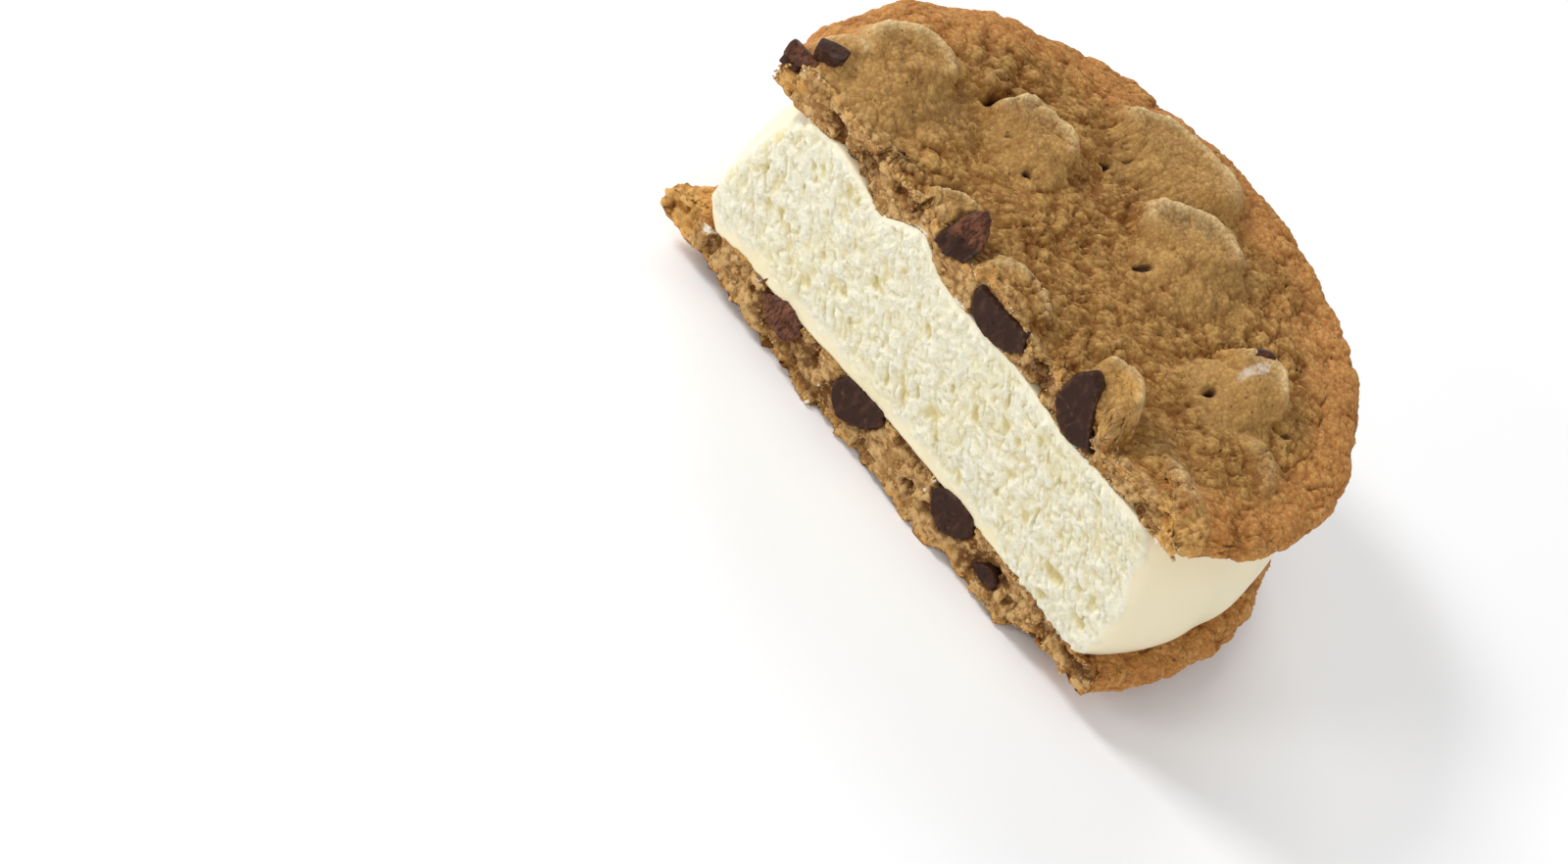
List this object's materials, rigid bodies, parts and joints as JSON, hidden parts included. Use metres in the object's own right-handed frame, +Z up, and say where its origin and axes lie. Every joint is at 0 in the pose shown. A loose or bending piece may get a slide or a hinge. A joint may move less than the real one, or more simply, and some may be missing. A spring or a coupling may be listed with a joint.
{
  "type": "ice cream sandwich",
  "caption": "Cut piece of a round ice cream sandwich: a thick pale slab of ice cream between chocolate chip cookies, lying on its lower cookie with the cut face showing.",
  "frame": {"origin": "middle of the full round sandwich, on the plane that the lower cookie rests on", "axes": "+X along the cut, +Y away from the cut face into the piece, +Z up through the layers"},
  "size_m": [0.0856, 0.0604, 0.039],
  "materials": {
    "crust": "matt baked dough, golden brown, cracked and crumbly",
    "cream": "satin frozen cream, pale, airy where cut",
    "chocolate": "matt dark chocolate"
  },
  "bodies": {
    "root": {"cookie_bottom": "crust", "ice_cream": "cream", "cookie_top": "crust", "chip_lens": "chocolate", "chip_dome": "chocolate", "chip_ragged": "chocolate", "chip_low_far": "chocolate", "chip_low_middle": "chocolate", "chip_low_near": "chocolate", "chip_low_end": "chocolate", "chip_corner": "chocolate", "chip_shard": "chocolate", "chip_end": "chocolate", "chip_bloomed": "chocolate"}
  },
  "joints": []
}
